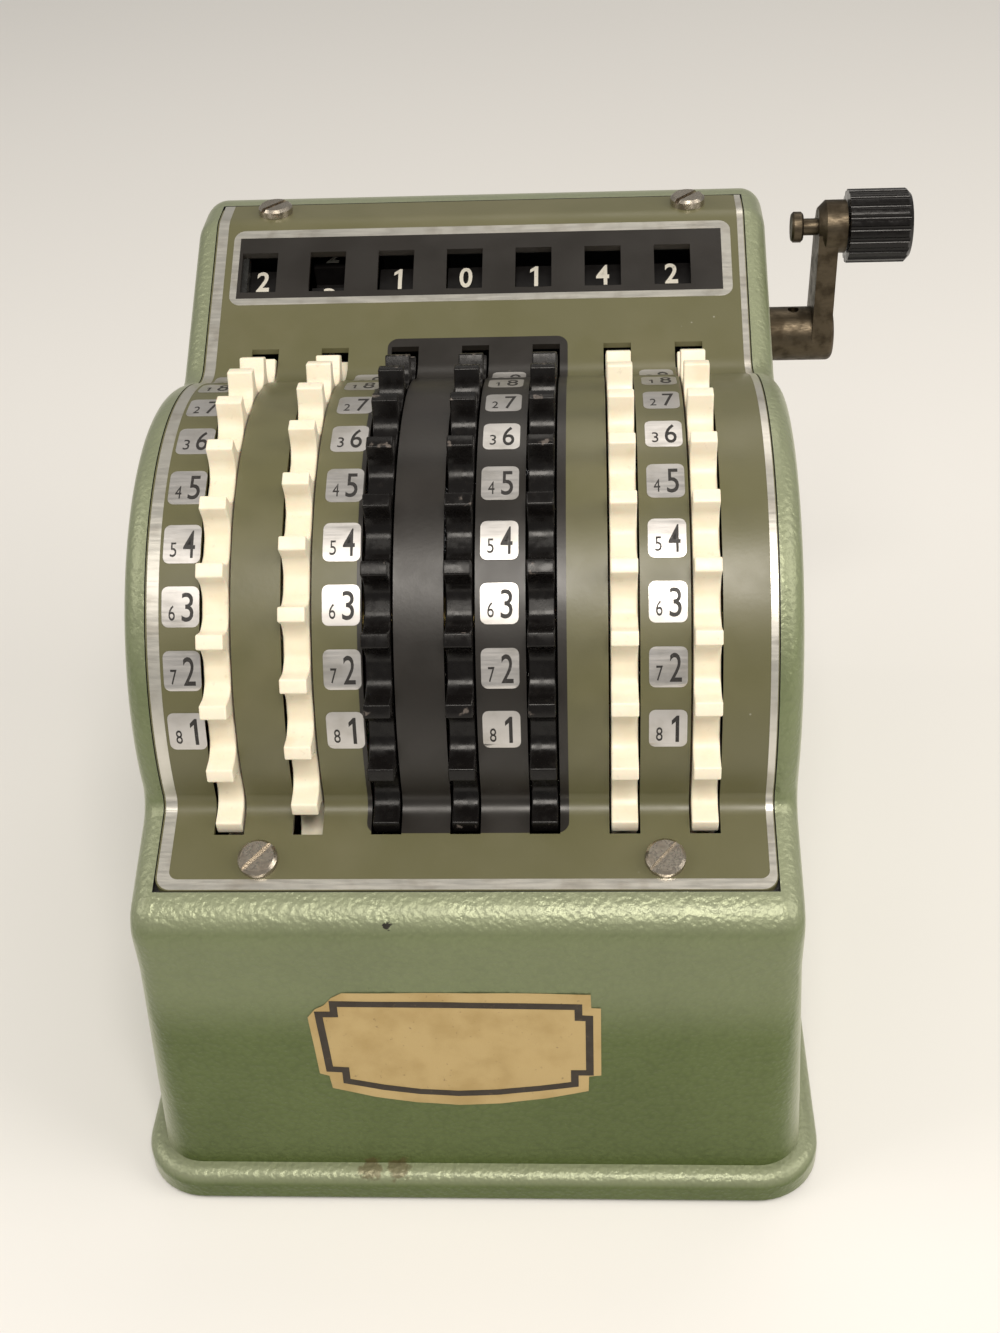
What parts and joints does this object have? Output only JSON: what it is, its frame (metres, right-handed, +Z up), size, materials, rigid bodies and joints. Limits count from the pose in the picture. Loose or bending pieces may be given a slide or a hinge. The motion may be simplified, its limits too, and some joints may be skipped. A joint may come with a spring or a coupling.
{
  "type": "finger-wheel adding machine",
  "caption": "Desk adding machine: rounded metal housing, curved plate with finger slots and number windows, toothed finger wheels geared to number drums, and a side clearing crank.",
  "frame": {"origin": "on the table, under the centre of the bounding box", "axes": "+X to the right as the user sits, +Y to the back, +Z up"},
  "size_m": [0.144, 0.1586, 0.1336],
  "materials": {
    "housing_paint": "light green hammer finish",
    "plate_paint": "satin olive with silver lines",
    "nickel": "aged nickel",
    "zinc_sheet": "dull plated sheet",
    "rubber": "matt",
    "frame_steel": "pressed sheet steel",
    "rod_steel": "turned",
    "spring_steel": "hardened strip",
    "spacer_brass": "turned",
    "crank_steel": "worn and dulled",
    "knob_black": "gloss",
    "wheel_ivory": "satin, aged",
    "wheel_black": "gloss",
    "drum_black": "satin with white digits"
  },
  "bodies": {
    "housing": {"housing_shell": "housing_paint", "face_plate": "plate_paint", "plate_screws": "nickel", "base_plate": "zinc_sheet", "rubber_feet": "rubber", "base_screws": "nickel", "frame_plate_left": "frame_steel", "frame_plate_right": "frame_steel", "frame_rivets": "frame_steel", "tie_rods": "rod_steel", "wheel_axle": "rod_steel", "wheel_spacers": "spacer_brass", "carry_shaft": "rod_steel", "detent_bar": "frame_steel", "detent_comb": "spring_steel", "crank_bush": "spacer_brass"},
    "wheel_1": {"finger_wheel_1": "wheel_ivory"},
    "drum_1": {"number_drum_1": "drum_black"},
    "wheel_2": {"finger_wheel_2": "wheel_ivory"},
    "drum_2": {"number_drum_2": "drum_black"},
    "wheel_3": {"finger_wheel_3": "wheel_black"},
    "drum_3": {"number_drum_3": "drum_black"},
    "wheel_4": {"finger_wheel_4": "wheel_black"},
    "drum_4": {"number_drum_4": "drum_black"},
    "wheel_5": {"finger_wheel_5": "wheel_black"},
    "drum_5": {"number_drum_5": "drum_black"},
    "wheel_6": {"finger_wheel_6": "wheel_ivory"},
    "drum_6": {"number_drum_6": "drum_black"},
    "wheel_7": {"finger_wheel_7": "wheel_ivory"},
    "drum_7": {"number_drum_7": "drum_black"},
    "lever_1": {"carry_lever_1": "spring_steel"},
    "lever_2": {"carry_lever_2": "spring_steel"},
    "lever_3": {"carry_lever_3": "spring_steel"},
    "lever_4": {"carry_lever_4": "spring_steel"},
    "lever_5": {"carry_lever_5": "spring_steel"},
    "lever_6": {"carry_lever_6": "spring_steel"},
    "crank": {"crank_shaft": "rod_steel", "drum_collars": "spacer_brass", "crank_arm": "crank_steel", "crank_set_pin": "crank_steel"},
    "pin": {"knob_pin": "crank_steel"},
    "knob": {"crank_knob": "knob_black"}
  },
  "joints": [
    {"name": "wheel_1_turn", "type": "hinge", "parent": "housing", "child": "wheel_1", "pos_m": [-0.05025, -0.00595, 0.0756], "axis": [1, 0, 0], "continuous": true},
    {"name": "drum_1_turn", "type": "hinge", "parent": "housing", "child": "drum_1", "pos_m": [-0.05025, 0.05204, 0.1041], "axis": [1, 0, 0], "continuous": true},
    {"name": "wheel_2_turn", "type": "hinge", "parent": "housing", "child": "wheel_2", "pos_m": [-0.03705, -0.00595, 0.0756], "axis": [1, 0, 0], "continuous": true},
    {"name": "drum_2_turn", "type": "hinge", "parent": "housing", "child": "drum_2", "pos_m": [-0.03705, 0.05204, 0.1041], "axis": [1, 0, 0], "continuous": true},
    {"name": "wheel_3_turn", "type": "hinge", "parent": "housing", "child": "wheel_3", "pos_m": [-0.02385, -0.00595, 0.0756], "axis": [1, 0, 0], "continuous": true},
    {"name": "drum_3_turn", "type": "hinge", "parent": "housing", "child": "drum_3", "pos_m": [-0.02385, 0.05204, 0.1041], "axis": [1, 0, 0], "continuous": true},
    {"name": "wheel_4_turn", "type": "hinge", "parent": "housing", "child": "wheel_4", "pos_m": [-0.01065, -0.00595, 0.0756], "axis": [1, 0, 0], "continuous": true},
    {"name": "drum_4_turn", "type": "hinge", "parent": "housing", "child": "drum_4", "pos_m": [-0.01065, 0.05204, 0.1041], "axis": [1, 0, 0], "continuous": true},
    {"name": "wheel_5_turn", "type": "hinge", "parent": "housing", "child": "wheel_5", "pos_m": [0.00255, -0.00595, 0.0756], "axis": [1, 0, 0], "continuous": true},
    {"name": "drum_5_turn", "type": "hinge", "parent": "housing", "child": "drum_5", "pos_m": [0.00255, 0.05204, 0.1041], "axis": [1, 0, 0], "continuous": true},
    {"name": "wheel_6_turn", "type": "hinge", "parent": "housing", "child": "wheel_6", "pos_m": [0.01575, -0.00595, 0.0756], "axis": [1, 0, 0], "continuous": true},
    {"name": "drum_6_turn", "type": "hinge", "parent": "housing", "child": "drum_6", "pos_m": [0.01575, 0.05204, 0.1041], "axis": [1, 0, 0], "continuous": true},
    {"name": "wheel_7_turn", "type": "hinge", "parent": "housing", "child": "wheel_7", "pos_m": [0.02895, -0.00595, 0.0756], "axis": [1, 0, 0], "continuous": true},
    {"name": "drum_7_turn", "type": "hinge", "parent": "housing", "child": "drum_7", "pos_m": [0.02895, 0.05204, 0.1041], "axis": [1, 0, 0], "continuous": true},
    {"name": "lever_1_swing", "type": "hinge", "parent": "housing", "child": "lever_1", "pos_m": [-0.04775, 0.05504, 0.0696], "axis": [1, 0, 0], "range_deg": [-3, 3], "stiffness_Nm_per_rad": 0.05},
    {"name": "lever_2_swing", "type": "hinge", "parent": "housing", "child": "lever_2", "pos_m": [-0.03455, 0.05504, 0.0696], "axis": [1, 0, 0], "range_deg": [-3, 3], "stiffness_Nm_per_rad": 0.05},
    {"name": "lever_3_swing", "type": "hinge", "parent": "housing", "child": "lever_3", "pos_m": [-0.02135, 0.05504, 0.0696], "axis": [1, 0, 0], "range_deg": [-3, 3], "stiffness_Nm_per_rad": 0.05},
    {"name": "lever_4_swing", "type": "hinge", "parent": "housing", "child": "lever_4", "pos_m": [-0.00815, 0.05504, 0.0696], "axis": [1, 0, 0], "range_deg": [-3, 3], "stiffness_Nm_per_rad": 0.05},
    {"name": "lever_5_swing", "type": "hinge", "parent": "housing", "child": "lever_5", "pos_m": [0.00505, 0.05504, 0.0696], "axis": [1, 0, 0], "range_deg": [-3, 3], "stiffness_Nm_per_rad": 0.05},
    {"name": "lever_6_swing", "type": "hinge", "parent": "housing", "child": "lever_6", "pos_m": [0.01825, 0.05504, 0.0696], "axis": [1, 0, 0], "range_deg": [-3, 3], "stiffness_Nm_per_rad": 0.05},
    {"name": "crank_turn", "type": "hinge", "parent": "housing", "child": "crank", "pos_m": [0.04575, 0.05204, 0.1041], "axis": [1, 0, 0], "continuous": true},
    {"name": "pin_slide", "type": "slide", "parent": "crank", "child": "pin", "axis": [1, 0, 0], "range_m": [0, 0.0025], "stiffness_N_per_m": 400},
    {"name": "knob_spin", "type": "hinge", "parent": "pin", "child": "knob", "pos_m": [0.06615, 0.05204, 0.12675], "axis": [1, 0, 0], "continuous": true}
  ],
  "couplings": [
    {"joint": "drum_1_turn", "follows": "wheel_1_turn", "ratio": -2.7},
    {"joint": "drum_2_turn", "follows": "wheel_2_turn", "ratio": -2.7},
    {"joint": "drum_3_turn", "follows": "wheel_3_turn", "ratio": -2.7},
    {"joint": "drum_4_turn", "follows": "wheel_4_turn", "ratio": -2.7},
    {"joint": "drum_5_turn", "follows": "wheel_5_turn", "ratio": -2.7},
    {"joint": "drum_6_turn", "follows": "wheel_6_turn", "ratio": -2.7},
    {"joint": "drum_7_turn", "follows": "wheel_7_turn", "ratio": -2.7}
  ]
}
